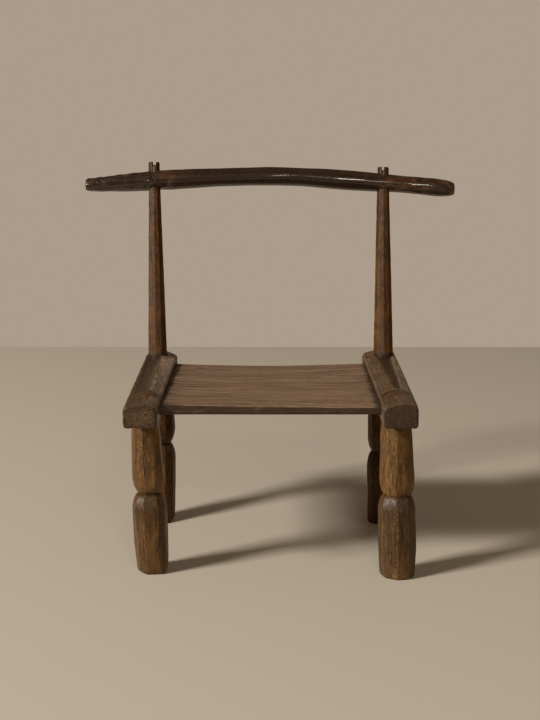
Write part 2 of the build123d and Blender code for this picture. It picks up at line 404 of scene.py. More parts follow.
def stack(centres, z, around, layers, top_shrink):
    """Closes a pile of level rings into rows ready for skin, with a flat sole and top."""
    x, y = centres
    lift = np.linspace(0, 1, 10)[:-1]
    shares = np.concatenate([lift, np.ones(len(z)), top_shrink])
    rows = np.concatenate([np.zeros(len(lift), int), np.arange(len(z)), np.full(len(top_shrink), len(z) - 1)])
    radius = around[rows] * shares[:, None]
    ring_x = x[rows][:, None] + radius * np.cos(TURNS)
    ring_y = y[rows][:, None] + radius * np.sin(TURNS)
    ring_z = np.broadcast_to(z[rows][:, None], ring_x.shape)
    return np.stack([ring_x, ring_y, ring_z], -1), {k: v[rows] for k, v in layers.items()}


TOP_SHRINK = np.linspace(1, 0, 8)[1:]


def front_leg(side, seed, cracks, rail_blank):
    """A lobed leg with a round tenon dressed off flush with the rail's top."""
    node = f"front_leg_{side}"
    foot, rail = cad_ring(node, 0.0), cad_ring(node, RAIL_BOTTOM)
    top_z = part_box(node)[1].z / MM
    z, around, near, groove, tone = leg_surface(node, foot, rail, seed, cracks)
    tenon_z = np.arange(rail[0] - 0.2, top_z + 0.01, 1.2)
    tenon = np.full((len(tenon_z), AROUND), LEG_TENON) + 0.25 * ring_noise(tenon_z, 3, 15)
    around[-1] = np.minimum(around[-1], rail[3])
    z = np.concatenate([z, tenon_z])
    around = np.concatenate([around, tenon])
    blank = np.zeros_like(tenon)
    pairs = {"near": (near, blank), "grime_and_shade": (groove, blank), "tone": (tone, blank - 0.4)}
    layers = {label: np.concatenate(pair) for label, pair in pairs.items()}
    rows, layers = stack(on_line(foot, rail, z), z, around, layers, TOP_SHRINK)
    probe = BVHTree.FromObject(rail_blank, bpy.context.evaluated_depsgraph_get())
    for row in range(len(rows)):
        if rows[row, 0, 2] < rail[0] + 0.5:
            continue
        for point in rows[row]:
            top = probe.ray_cast(Vector((point[0], point[1], top_z + 50)) * MM, Vector((0, 0, -1)))[0].z / MM
            point[2] = rail[0] + (point[2] - rail[0]) * (top + 0.12 - rail[0]) / (top_z - rail[0])
    return skin(f"leg_front_{side}", rows, layers), foot, rail


def upright(side, seed, cracks):
    """Lobed leg, neck, tapering knife-cut post and round tenon in one stick."""
    node = f"back_upright_{side}"
    foot, rail = cad_ring(node, 0.0), cad_ring(node, RAIL_BOTTOM)
    neck, shoulder = cad_ring(node, NECK_HEIGHT), cad_ring(node, SHOULDER_HEIGHT)
    top_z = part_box(node)[1].z / MM
    z, around, near, groove, tone = [part[:-1] for part in leg_surface(node, foot, rail, seed, cracks)]
    x, y = on_line(foot, rail, z)
    post_z = np.arange(rail[0] - 0.2, shoulder[0] - 1, 1.5)
    base = np.interp(post_z, [rail[0], neck[0], shoulder[0]], [neck[3], neck[3], shoulder[3]])
    share, post_near = hewn(TURNS, post_z, 9, seed + 9, stroke=60.0, depth=0.02, crisp=44)
    plain = 1 - smooth_step(rail[0] + 28, neck[0] + 12, post_z)[:, None]
    post = base[:, None] * (share * (1 - plain) + 0.985 * plain)
    post += 0.22 * ring_noise(post_z, 2, 11, (0, seed))
    tenon_z = np.arange(shoulder[0] - 1, top_z + 0.01, 1.2)
    tenon = np.full((len(tenon_z), AROUND), POST_TENON) + 0.2 * ring_noise(tenon_z, 2, 9, (0, seed))
    tenon -= (1.2 * smooth_step(top_z - 2.5, top_z, tenon_z) ** 2)[:, None]
    upper_z = np.concatenate([post_z, tenon_z])
    upper_x, upper_y = on_line(neck, shoulder, upper_z)
    blank = np.zeros((len(tenon_z), AROUND))
    neck_grime = np.exp(-(((post_z - neck[0]) / 5) ** 2))[:, None] * np.ones(AROUND)
    layers = {
        "near": np.concatenate([near, post_near * (1 - plain), blank]),
        "grime_and_shade": np.concatenate([groove, neck_grime * 0.8, blank]),
        "tone": np.concatenate([tone, 0 * post, blank - 0.7]),
    }
    z = np.concatenate([z, upper_z])
    centres = np.concatenate([x, upper_x]), np.concatenate([y, upper_y])
    rows, layers = stack(centres, z, np.concatenate([around, post, tenon]), layers, TOP_SHRINK)
    obj = skin(f"upright_{side}", rows, layers)
    return obj, (neck, shoulder)


# ---- Side rails -----------------------------------------------------------------------

# Per side, in mm: outer edge, ridge and inner edge heights under the rail's highest point,
# the ridge's distance from the outer face, how much the inner face draws in at the front, how
# strong the painted sheen (or painted shade, below zero) is on the top outside and inside the
# ridge, how pale (or dark, below zero) the front end is, and how dark the trough is painted as shade
RAIL_SHAPE = {
    "left": dict(
        outer=6.2, ridge=-0.1, inner=8.4, ridge_in=30.3, taper=4.0, painted_light_and_end_tone=(-1.1, 1.0, -0.25), dirt_and_shade=0.45
    ),
    "right": dict(
        outer=4.4, ridge=-0.1, inner=8.4, ridge_in=25.6, taper=5.0, painted_light_and_end_tone=(0.5, 0.15, -1.0), dirt_and_shade=0.9
    ),
}
# Per side: the trough's middle from the outer face and its half width, at front and back
TROUGH = {
    "left": dict(middle=(17.0, 15.8), half=(9.0, 13.5), depth=(2.2, 3.6)),
    "right": dict(middle=(20.6, 21.1), half=(5.5, 14.0), depth=(2.6, 4.4)),
}


def rail_rows(side, low, high, leg_back_y):
    """Rows of the rail's skin from its front end to its back end, and its layers."""
    shape, trough = RAIL_SHAPE[side], TROUGH[side]
    outward = -1 if side == "left" else 1
    outer_x = low.x if side == "left" else high.x
    width = high.x - low.x
    length = high.y - low.y
    cap = np.linspace(0, 0.9, 9)
    ease = np.array([0.0, 0.15, 0.45, 0.9, 1.5, 2.3, 3.2])
    back_round = np.array([0.0, 0.1, 0.35, 0.8, 1.4, 2.2, 3.2, 4.4, 5.8, 7.4, 9.2, 11.2, 13.5])
    middle = np.arange(ease[-1] + 1.4, length - back_round[-1] - 0.7, 1.4)
    back = length - back_round[::-1]
    along = np.concatenate([np.zeros(len(cap)), ease, middle, back, np.full(len(cap), length)])
    shrink = np.concatenate([cap, np.ones(len(ease) + len(middle) + len(back_round)), cap[::-1]])
    rows, nears, darks = [], [], []
    for place, share in zip(along, shrink):
        t = place / length
        inner_x = outer_x - outward * (width - shape["taper"] * (1 - t))
        ridge_x = outer_x - outward * shape["ridge_in"]
        corners = [
            (inner_x, low.z),
            (outer_x, low.z),
            (outer_x, high.z - shape["outer"]),
            (ridge_x, high.z - shape["ridge"]),
            (inner_x, high.z - shape["inner"]),
        ]
        worn = 1 + 0.35 * noise_at(place / 23.0, 1.5 if side == "left" else 7.5, 0.5)
        bluff = 1 + 0.9 * np.exp(-place / 9.0)
        rounds = [3.4 * bluff, 3.4 * bluff, 4.6 * worn * bluff, 7.5 * bluff, 3.4 * worn * bluff]
        points, near = outline(corners, rounds, [34, 22, 20, 16, 20])
        centre = np.array([(outer_x + inner_x) / 2, (low.z + high.z) / 2 - 2])
        half = np.array([abs(outer_x - inner_x) / 2, (high.z - low.z) / 2])
        front_in = 2.4 * rounded(place, ease[-1])
        back_gap = length - place
        back_in = 11.0 * rounded(back_gap, back_round[-1])
        back_down = 3.0 * rounded(back_gap, 4.4)
        squeeze = np.array([1 - (front_in + back_in) / half[0], 1 - (front_in + back_down) / half[1]])
        points = centre + (points - centre) * squeeze * share
        rows.append(np.stack([points[:, 0], np.full(len(points), low.y + place), points[:, 1]], -1))
        end_near = max(np.exp(-place / 2.5), np.exp(-back_gap / 2.5)) * smooth_step(0.8, 1, share)
        nears.append(np.maximum(near * smooth_step(0.8, 1.0, share), end_near))
        darks.append(np.full(len(near), 0.85 * end_near))
    rows, nears, darks = np.array(rows), np.array(nears), np.array(darks)
    top = smooth_step(high.z - 14, high.z - 9, rows[..., 2])
    run = np.clip((rows[..., 1] - leg_back_y) / (high.y - 25 - leg_back_y), 0, 1)
    mix = lambda pair: pair[0] + (pair[1] - pair[0]) * run
    across = (np.abs(rows[..., 0] - outer_x) - mix(trough["middle"])) / mix(trough["half"])
    inside = 0.35 * smooth_step(leg_back_y - 1, leg_back_y + 2, rows[..., 1])
    inside += 0.65 * smooth_step(leg_back_y, leg_back_y + 40, rows[..., 1])
    inside *= 1 - smooth_step(high.y - 20, high.y - 4, rows[..., 1])
    scoop = np.clip(1 - np.abs(across) ** 2.6, 0, 1) * inside * top
    rows[..., 2] -= mix(trough["depth"]) * scoop
    wave = noise_at(rows[..., 0] / 14, rows[..., 1] / 45, rows[..., 2] / 14)
    rows[..., 2] += 0.5 * wave * top
    lip = np.exp(-(((np.abs(across) - 1) * mix(trough["half"]) / 1.6) ** 2)) * inside * top
    nears = np.maximum(nears, 0.55 * lip)
    ridge_x = outer_x - outward * shape["ridge_in"]
    # Painted sheen (above zero) and painted shade (below zero) on the top outside and inside the ridge. It is
    # weaker in front of the leg's tenon, the sheen is kept out of the trough, and the front end gets its own
    # darker tone.
    outer_part = smooth_step(-0.6, 1.4, (rows[..., 0] - ridge_x) * outward)
    tone = (shape["painted_light_and_end_tone"][0] * outer_part + shape["painted_light_and_end_tone"][1] * (1 - outer_part)) * top
    tone *= 0.35 + 0.65 * smooth_step(leg_back_y - 14, leg_back_y + 8, rows[..., 1])
    tone += shape["painted_light_and_end_tone"][2] * (1 - smooth_step(low.y, low.y + 4, rows[..., 1]))
    tone = np.where(tone > 0, tone * (1 - scoop), tone)
    # In the grime layer the trough is painted darker as painted shade, and both ends are darker.
    return rows, {"near": nears, "grime_and_shade": np.maximum(shape["dirt_and_shade"] * scoop, darks), "tone": tone}


def rail_blank(side):
    """The carved rail before anything is cut in it."""
    low, high = [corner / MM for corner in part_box(f"side_rail_{side}")]
    leg = f"front_leg_{side}"
    tenon_y = on_line(cad_ring(leg, 0.0), cad_ring(leg, RAIL_BOTTOM), high.z)[1] + 19.6
    obj = skin(f"rail_{side}", *rail_rows(side, low, high, tenon_y))
    near = layer_of(obj, "near")
    points = points_of(obj)
    chip = smooth_step(0.15, 0.75, noise(points / np.array([7.0, 11.0, 7.0])))
    front = np.exp(-(points[:, 1] - low.y) / 3.0)
    push(obj, 0.25 * noise(points / 9) - 1.3 * near * chip + 0.5 * front * noise(points / 5))
    return obj


def drill_rail(obj, side, leg, post, seat_box):
    """Cuts the leg's hole, the post's hole and the plank's groove in a rail."""
    low, high = [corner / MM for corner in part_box(f"side_rail_{side}")]
    below, above = low.z - 5, high.z + 5
    foot, rail = leg
    neck, shoulder = post
    holes = []
    for line, radius in (((foot, rail), RAIL_BORE), ((neck, shoulder), neck[3] + CLEAR)):
        ends = [(*on_line(*line, z), z) for z in (below, above)]
        holes.append(round_cutter(*ends, radius, 96))
    seat_low, seat_high = seat_box
    end_x = seat_low.x - 0.4 if side == "left" else seat_high.x + 0.4
    reach = sorted((end_x, end_x + 30 if side == "left" else end_x - 30))
    groove = [
        (reach[0], seat_low.y - 0.6),
        (reach[1], seat_low.y - 0.6),
        (reach[1], seat_high.y + 0.6),
        (reach[0], seat_high.y + 0.6),
    ]
    holes.append(prism(seat_low.z + 0.2, seat_high.z - 0.4, groove, groove))
    cut(obj, holes)


# ---- Seat plank -----------------------------------------------------------------------


# Points of the plank's ring, counted from its lower front arris: up to the upper front arris,
# and up to the back one
FRONT_COLUMNS, TOP_COLUMNS = 26, 182


def seat():
    """The plank: dished, with a worn front arris and ends that enter the rails."""
    low, high = [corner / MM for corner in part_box("seat_plank")]
    probe = BVHTree.FromObject(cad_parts["seat_plank"], bpy.context.evaluated_depsgraph_get())

    def face_z(x, y, down):
        start = Vector((x, y, (high.z + 50) if down else (low.z - 50))) * MM
        hit = probe.ray_cast(start, Vector((0, 0, -1 if down else 1)))[0]
        return hit.z / MM

    inset = 6.0
    half = (high.x - low.x) / 2
    middle_x = (high.x + low.x) / 2
    ends = {}
    for label, y in (("front", low.y + inset), ("back", high.y - inset)):
        left, right = face_z(low.x + inset, y, True), face_z(high.x - inset, y, True)
        ends[label] = (left, right, (left + right) / 2 - face_z(middle_x, y, True), face_z(0, y, False))
    columns = np.concatenate([[low.x], np.arange(low.x + 1, high.x, 2.0), [high.x]])
    cap = np.linspace(0, 0.9, 4)
    xs = np.concatenate([np.full(4, low.x), columns, np.full(4, high.x)])
    shrink = np.concatenate([cap, np.ones(len(columns)), cap[::-1]])
    rows, nears = [], []
    for x, share in zip(xs, shrink):
        s = (x - middle_x) / half
        tops = [
            (ends[e][0] + ends[e][1]) / 2 + s * (ends[e][1] - ends[e][0]) / 2 - ends[e][2] * (1 - s * s)
            for e in ("front", "back")
        ]
        ragged = 1.2 * noise_at(x / 34.0, 2.5, 0.5) + 0.6 * noise_at(x / 9.0, 5.5, 0.5)
        corners = [
            (low.y + 1.5, ends["front"][3]),
            (low.y + 0.4, tops[0]),
            (high.y, tops[1]),
            (high.y, ends["back"][3]),
        ]
        worn = 2.2 + 1.6 * max(noise_at(x / 15.0, 8.5, 0.5), -0.7)
        points, near = outline(corners, [2.4, worn, 3.0, 2.4], [14, 150, 6, 60], bend=9)
        points[:, 0] += np.clip(1 - (points[:, 0] - low.y) / 12, 0, 1) * (0.8 + ragged) * (0.5 + 0.5 * near)
        centre = points.mean(0)
        points = centre + (points - centre) * share
        rows.append(np.stack([np.full(len(points), x), points[:, 0], points[:, 1]], -1))
        nears.append(near)
    rows, nears = np.array(rows), np.array(nears)
    on_top = smooth_step(low.z + 10, low.z + 13, rows[..., 2])
    rows[..., 2] += on_top * 0.55 * noise_at(rows[..., 0] / 70, rows[..., 1] / 22, 3.5)
    rows[..., 2] += on_top * 0.22 * noise_at(rows[..., 0] / 30, rows[..., 1] / 5, 6.5)
    column = np.arange(rows.shape[1])
    on_face, past_arris = column < FRONT_COLUMNS, column < TOP_COLUMNS
    patchy = smooth_step(-0.35, 0.3, noise_at(rows[..., 0] / 7, rows[..., 1] / 3, 8.5))
    front = 0.9 * np.exp(-((rows[..., 1] - low.y) / 2.4)) * patchy * (~on_face & past_arris)
    # Painted shadow of the rails over the plank's ends, reaching wider at the left end; the front face is
    # darker all over.
    edge_x = half - 4 - np.abs(rows[..., 0] - middle_x)
    fray = 0.5 + 0.9 * noise_at(rows[..., 0] / 24, rows[..., 1] / 3.2, 4.5)
    reach = np.where(rows[..., 0] < middle_x, 26.0, 8.0)
    rail_shade = np.clip(np.exp(-edge_x / 5.0) + fray * np.exp(-edge_x / reach), 0, 1) * on_top
    grime_and_shade = np.where(on_face, 0.85 + 0.3 * noise_at(rows[..., 0] / 9, rows[..., 2] / 3, 2.5), rail_shade)
    face = 0.35 * smooth_step(-0.1, 0.4, noise_at(rows[..., 0] / 8, rows[..., 2] / 4, 6.5)) * on_face
    near = np.maximum(nears * 0.5 * patchy, np.maximum(front, face))
    layers = {"near": near, "grime_and_shade": np.clip(grime_and_shade, 0, 1)}
    obj = skin("seat", rows, layers)
    lay_grain(obj, (0, 0, 0), (1, 0, 0))
    return obj


# ---- Crest rail -----------------------------------------------------------------------


# Stretches of the crest, in mm across: where its ends turn rough and where they turn brown, and
# the middle of the dent beside the right post
ROUGH_LEFT, ROUGH_RIGHT = (-125, -180), (190, 270)
BROWN_LEFT, BROWN_RIGHT = (-105, -170), (110, 230)
DENT_X, DENT_TURN = 104, radians(142)


def crest(posts):
    """The bowed bar with holes for the posts' tenons."""
    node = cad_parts["crest_rail"]
    low, high = [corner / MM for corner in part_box("crest_rail")]
    middle_y = (low.y + high.y) / 2
    probe = BVHTree.FromObject(node, bpy.context.evaluated_depsgraph_get())
    hole_xs = [on_line(neck, shoulder, CREST_HEIGHT)[0] for neck, shoulder in posts]
    stations, centres, radii = [], [], []
    for x in np.linspace(low.x + 2.5, high.x - 2.5, 90):
        if min(abs(x - hole) for hole in hole_xs) < 16:
            continue
        hits = [
            probe.ray_cast(Vector((x, middle_y, start)) * MM, Vector((0, 0, way)))[0]
            for start, way in ((high.z + 50, -1), (low.z - 50, 1))
        ]
        if None in hits:
            continue
        stations.append(x)
        centres.append((hits[0].z + hits[1].z) / 2 / MM)
        radii.append((hits[0].z - hits[1].z) / 2 / MM)
    rounding = np.array([0.0, 0.25, 0.8, 1.7, 2.8, 4.2, 6.0])
    body = np.arange(low.x + 7.4, high.x - 7, 1.4)
    xs = np.concatenate([low.x + rounding, body, (high.x - rounding)[::-1]])
    z = np.interp(xs, stations, centres)
    r = np.interp(xs, stations, radii)
    gap = np.minimum(xs - low.x, high.x - xs)
    r = r * (1 - 0.3 * rounded(gap, rounding[-1]))
    share, near = hewn(TURNS, xs, 11, 41, stroke=38.0, depth=0.014, crisp=24)
    rough = (smooth_step(*ROUGH_LEFT, xs) + smooth_step(*ROUGH_RIGHT, xs) * 0.45)[:, None]
    around = r[:, None] * share
    around += rough * 0.55 * ring_noise(xs, 2.2, 11)
    pits = smooth_step(0.1, 0.7, ring_noise(xs, 2.6, 7, (9, 0)))
    around -= 0.75 * rough * pits
    around += 0.25 * ring_noise(xs, 1.2, 30, (0, 3))
    dent = np.exp(-(((xs[:, None] - DENT_X) / 3.4) ** 2))
    dent = dent * np.exp(-(((TURNS[None, :] - DENT_TURN) / 0.3) ** 2))
    around -= 1.5 * dent
    cap = np.linspace(0, 1, 9)[:-1]
    rows_index = np.concatenate([np.zeros(8, int), np.arange(len(xs)), np.full(8, len(xs) - 1)])
    shares = np.concatenate([cap, np.ones(len(xs)), cap[::-1]])
    radius = around[rows_index] * shares[:, None]
    slope = np.gradient(z, xs)[rows_index][:, None]
    up = radius * np.sin(TURNS)
    ring_x = xs[rows_index][:, None] - slope * up * shares[:, None]
    ring_x = np.clip(ring_x, low.x, high.x)
    ring_y = middle_y - radius * np.cos(TURNS)
    ring_z = z[rows_index][:, None] + up
    end_near = np.exp(-gap / 3.0)[:, None] * np.ones(AROUND)
    brown = (0.6 * smooth_step(*BROWN_LEFT, xs) + smooth_step(*BROWN_RIGHT, xs))[:, None]
    blotches = ring_noise(xs, 3, 10)
    layers = {
        "near": np.maximum(near * 0.5, end_near)[rows_index],
        "grime_and_shade": dent[rows_index],
        "tone": (brown * (0.55 + 0.7 * blotches))[rows_index],
    }
    obj = skin("crest", np.stack([ring_x, ring_y, ring_z], -1), layers)
    holes = []
    for neck, shoulder in posts:
        ends = [(*on_line(neck, shoulder, z), z) for z in (shoulder[0], high.z + PAST)]
        holes.append(round_cutter(*ends, CREST_BORE))
    cut(obj, holes)
    lay_grain(obj, (0, middle_y, z.mean()), (1, 0, 0))
    return obj


# ---- Slots and wedges -----------------------------------------------------------------


WEDGE_HALF_WIDTH = 8.6


def slot_and_wedge(side, post, upright_obj):
    """Saws the slot across the tenon and makes the wedge that sits in it."""
    low, high = [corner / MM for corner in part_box(f"crest_wedge_{side}")]
    top_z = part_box(f"back_upright_{side}")[1].z / MM
    neck, shoulder = post
    middle = (low.x + high.x) / 2
    top_half = (high.x - low.x) / 2
    bottom_half = top_half * (0.6 if side == "left" else 0.35)
    grow = (top_half - bottom_half) / (high.z - low.z)
    rim_half = top_half + grow * (top_z + 2 - high.z)
    y_low, y_high = low.y - 12, high.y + 14
    square = lambda half: [
        (middle - half, y_low), (middle + half, y_low), (middle + half, y_high), (middle - half, y_high)
    ]
    slot = [square(half + 0.12) for half in (bottom_half, rim_half)]
    cut(upright_obj, [prism(low.z, top_z + 2, *slot)])
    body = np.arange(low.z + 0.7, high.z - 0.4, 0.9)
    heights = np.concatenate([np.full(4, low.z + 0.2), body, np.full(4, high.z)])
    shares = np.concatenate([[0, 0.3, 0.6, 0.9], np.ones(len(heights) - 8), [0.9, 0.6, 0.3, 0]])
    rows, nears = [], []
    for z, share in zip(heights, shares):
        half = bottom_half + grow * (z - low.z) - 0.05
        y = on_line(neck, shoulder, z)[1]
        front, back = y - WEDGE_HALF_WIDTH, y + WEDGE_HALF_WIDTH
        corners = [
            (middle - half, front), (middle + half, front), (middle + half, back), (middle - half, back)
        ]
        points, near = outline(corners, [half * 0.5] * 4, [3, 14, 3, 14], bend=4)
        centre = np.array([middle, y])
        points = centre + (points - centre) * share
        tilt = z + (0.5 * noise_at(points[:, 0] / 2, points[:, 1] / 5, 1.5) if z == high.z else 0)
        rows.append(np.stack([points[:, 0], points[:, 1], np.minimum(tilt, high.z) + 0 * points[:, 0]], -1))
        nears.append(near)
    nears = np.array(nears)
    obj = skin(f"wedge_{side}", np.array(rows), {"near": nears, "grime_and_shade": nears * 0})
    lay_grain(obj, (middle, 0, 0), (0, 0, 1))
    return obj


# ---- Wood -----------------------------------------------------------------------------


def node_of(tree, kind, **settings):
    made = tree.nodes.new(kind)
    for key, value in settings.items():
        setattr(made, key, value)
    return made


def wood(name, looks):
    """A worn wood: streaked grain, pores, blotches of patina, rubbed arrises, dirt in hollows and painted
    shade, and painted sheen from the tone layer.
    """
    material = bpy.data.materials.new(name)
    material.use_nodes = True
    tree = material.node_tree
    shader = tree.nodes["Principled BSDF"]
    link = tree.links.new

    def stretched(scale):
        scale = (*scale[:2], scale[2] * looks["stretch"])
        attribute = node_of(tree, "ShaderNodeAttribute", attribute_name="grain")
        mapping = node_of(tree, "ShaderNodeMapping")
        mapping.inputs["Scale"].default_value = scale
        link(attribute.outputs["Vector"], mapping.inputs["Vector"])
        return mapping.outputs["Vector"]

    def clouds(scale, detail, roughness, distortion=0.0):
        made = node_of(tree, "ShaderNodeTexNoise")
        made.inputs["Scale"].default_value = 1.0
        made.inputs["Detail"].default_value = detail
        made.inputs["Roughness"].default_value = roughness
        made.inputs["Distortion"].default_value = distortion
        link(stretched(scale), made.inputs["Vector"])
        return made.outputs["Fac"]

    def ramp(value, low, high):
        made = node_of(tree, "ShaderNodeMapRange")
        made.interpolation_type = "SMOOTHSTEP"
        made.inputs["From Min"].default_value = low
        made.inputs["From Max"].default_value = high
        link(value, made.inputs["Value"])
        return made.outputs["Result"]

    def maths(operation, first, second):
        made = node_of(tree, "ShaderNodeMath", operation=operation)
        for socket, value in zip(made.inputs, (first, second)):
            if isinstance(value, (int, float)):
                socket.default_value = value
            else:
                link(value, socket)
        return made.outputs["Value"]

    def mix(share, first, second):
        made = node_of(tree, "ShaderNodeMix", data_type="RGBA")
        for socket, value in ((made.inputs[0], share), (made.inputs[6], first), (made.inputs[7], second)):
            if isinstance(value, tuple):
                socket.default_value = (*value, 1)
            else:
                link(value, socket)
        return made.outputs[2]

    streak = clouds((0.32, 0.32, 0.011), 5.0, 0.62, 0.25)
    fine = clouds((1.6, 1.6, 0.05), 4.0, 0.6)
    pores = clouds((2.6, 2.6, 0.16), 2.0, 0.5)
    patches = clouds((0.035, 0.035, 0.02), 5.0, 0.6)
    mottle = clouds((0.20, 0.20, 0.07), 7.0, 0.72, 0.4)
    specks = clouds((0.45, 0.45, 0.4), 5.0, 0.65)
    checks = clouds((0.42, 0.42, 0.014), 3.0, 0.55, 0.5)
    near = node_of(tree, "ShaderNodeAttribute", attribute_name="near").outputs["Fac"]
    grime_and_shade = node_of(tree, "ShaderNodeAttribute", attribute_name="grime_and_shade").outputs["Fac"]

    # The tone layer: each piece's own paler or darker tone, and on the rails' tops painted sheen (pale) and
    # painted shade (dark).
    tone = node_of(tree, "ShaderNodeAttribute", attribute_name="tone").outputs["Fac"]
    colour = mix(ramp(streak, *looks["streak"]), looks["dark"], looks["base"])
    colour = mix(ramp(tone, 0.0, 1.0), colour, looks["bloom_and_sheen"])
    colour = mix(ramp(maths("MULTIPLY", tone, -1.0), 0.0, 1.0), colour, looks["film_and_shade"])
    colour = mix(maths("MULTIPLY", ramp(fine, 0.42, 0.62), looks["fine"]), colour, looks["pale"])
    dulled = maths("ADD", maths("MULTIPLY", patches, 0.45), maths("MULTIPLY", mottle, 0.55))
    dulled = ramp(dulled, 0.45, 0.545)
    colour = mix(maths("MULTIPLY", dulled, looks["patina"]), colour, looks["film_and_shade"])
    colour = mix(maths("MULTIPLY", ramp(specks, 0.60, 0.70), looks["flecks"]), colour, looks["rubbed"])
    worn = maths("MULTIPLY", ramp(near, 0.05, 1.0), ramp(specks, *looks["wear_cut"]))
    colour = mix(maths("MULTIPLY", worn, looks["wear"]), colour, looks["rubbed"])
    colour = mix(maths("MULTIPLY", ramp(pores, 0.60, 0.70), looks["pores"]), colour, looks["grime_and_shade"])
    # The grime layer: dirt and darker patches, plus painted shade in the rails' troughs and over the plank's
    # ends.
    colour = mix(maths("MULTIPLY", ramp(grime_and_shade, 0.05, 0.9), looks["dirt_and_shade"]), colour, looks["grime_and_shade"])
    opened = ramp(checks, 0.615, 0.66)
    colour = mix(maths("MULTIPLY", opened, looks["checks"]), colour, looks["grime_and_shade"])
    link(colour, shader.inputs["Base Color"])

    uneven = maths("MULTIPLY", maths("SUBTRACT", specks, 0.5), 0.5)
    rough = maths("ADD", maths("ADD", uneven, looks["rough"]), maths("MULTIPLY", dulled, -0.06))
    link(rough, shader.inputs["Roughness"])
    shader.inputs["Specular IOR Level"].default_value = looks["shine"]
    shader.inputs["Coat Weight"].default_value = looks["coat"]
    shader.inputs["Coat Roughness"].default_value = looks["coat_rough"]

    relief = maths("ADD", maths("MULTIPLY", streak, 0.6), maths("MULTIPLY", fine, 0.35))
    relief = maths("ADD", relief, maths("MULTIPLY", specks, looks["lumps"]))
    relief = maths("SUBTRACT", relief, maths("MULTIPLY", ramp(pores, 0.58, 0.72), 0.5))
    relief = maths("SUBTRACT", relief, maths("MULTIPLY", opened, 1.2))
    bump = node_of(tree, "ShaderNodeBump")
    bump.inputs["Strength"].default_value = looks["bump"]
    bump.inputs["Distance"].default_value = 0.0006
    link(relief, bump.inputs["Height"])
    link(bump.outputs["Normal"], shader.inputs["Normal"])
    return material


# What every wood starts from: where the streaks, wear, dirt and painted shade and the rest come in
# and how strongly. Colours are linear: base and dark streaks, pale fibres, the film of old patina
# (also painted shade on the rails' tops), rubbed arrises, grime (also painted shade in the rails'
# troughs and over the plank's ends), and bloom where the skin is dry or pale (also painted sheen on the
# rails' tops).
PLAIN_LOOKS = dict(
    stretch=1.0,
    streak=(0.30, 0.70), fine=0.25, patina=0.8, wear=0.6, wear_cut=(0.44, 0.60), pores=0.6, dirt_and_shade=0.85,
    flecks=0.5, checks=0.75, rough=0.40, shine=0.34, coat=0.0, coat_rough=0.3, lumps=0.9, bump=0.7,
    bloom_and_sheen=(0.2, 0.12, 0.07),
)
LOOKS = {
    "leg_wood": dict(
        PLAIN_LOOKS, base=(0.195, 0.094, 0.022), dark=(0.095, 0.043, 0.009), pale=(0.25, 0.125, 0.042),
        film_and_shade=(0.042, 0.019, 0.005), rubbed=(0.34, 0.18, 0.055), grime_and_shade=(0.012, 0.006, 0.003),
        bloom_and_sheen=(0.245, 0.118, 0.031), patina=0.6, streak=(0.25, 0.75),
    ),
    "upright_wood": dict(
        PLAIN_LOOKS, base=(0.150, 0.062, 0.012), dark=(0.060, 0.024, 0.004), pale=(0.21, 0.095, 0.024),
        film_and_shade=(0.045, 0.019, 0.004), rubbed=(0.28, 0.130, 0.036), grime_and_shade=(0.012, 0.006, 0.003),
        shine=0.2, rough=0.5,
    ),
    # The rail's bloom colour is painted sheen on its top, and its film colour is also painted shade on the
    # left rail's outer slope.
    "rail_wood": dict(
        PLAIN_LOOKS, base=(0.150, 0.080, 0.038), dark=(0.072, 0.034, 0.013), pale=(0.22, 0.145, 0.090),
        film_and_shade=(0.036, 0.017, 0.006), rubbed=(0.26, 0.145, 0.065), grime_and_shade=(0.030, 0.012, 0.004),
        bloom_and_sheen=(0.39, 0.285, 0.20), rough=0.42, patina=0.55, dirt_and_shade=0.8,
    ),
    "seat_wood": dict(
        PLAIN_LOOKS, base=(0.31, 0.197, 0.122), dark=(0.15, 0.080, 0.042), pale=(0.36, 0.25, 0.165),
        film_and_shade=(0.15, 0.082, 0.044), rubbed=(0.36, 0.175, 0.060), grime_and_shade=(0.030, 0.013, 0.005),
        streak=(0.33, 0.62), rough=0.62, shine=0.25, stretch=0.3, checks=0.6, wear=0.8, patina=0.5,
        fine=0.6, bump=0.9, pores=0.8,
    ),
    "crest_wood": dict(
        PLAIN_LOOKS, base=(0.028, 0.011, 0.004), dark=(0.012, 0.005, 0.002), pale=(0.055, 0.024, 0.009),
        film_and_shade=(0.016, 0.007, 0.003), rubbed=(0.14, 0.06, 0.02), grime_and_shade=(0.008, 0.004, 0.002),
        bloom_and_sheen=(0.105, 0.046, 0.015), rough=0.36, coat=0.8, coat_rough=0.10, shine=0.2, bump=0.35,
    ),
    "wedge_wood": dict(
        PLAIN_LOOKS, base=(0.20, 0.12, 0.07), dark=(0.10, 0.055, 0.03), pale=(0.28, 0.18, 0.11),
        film_and_shade=(0.10, 0.055, 0.03), rubbed=(0.30, 0.19, 0.12), grime_and_shade=(0.03, 0.015, 0.008), rough=0.6,
    ),
}
MATERIALS = {name: wood(name, looks) for name, looks in LOOKS.items()}


def place(obj, node, slot):
    obj.data.materials.clear()
    obj.data.materials.append(MATERIALS[slot])
    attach(obj, "root")
    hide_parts(node)


# ---- The chair ------------------------------------------------------------------------

LEG_SEEDS = {"left": 3, "right": 17}
UPRIGHT_SEEDS = {"left": 29, "right": 52}
# Drying cracks: direction round the leg, from and to height, depth in mm
LEG_CRACKS = {
    "left": [(radians(262), 138, 176, 1.2), (radians(300), 20, 60, 1.4)],
    "right": [(radians(268), 126, 150, 1.6), (radians(236), 30, 96, 1.2)],
}
UPRIGHT_CRACKS = {"left": [(radians(250), 20, 70, 1.2)], "right": [(radians(285), 30, 80, 1.2)]}

SIDES = ("left", "right")

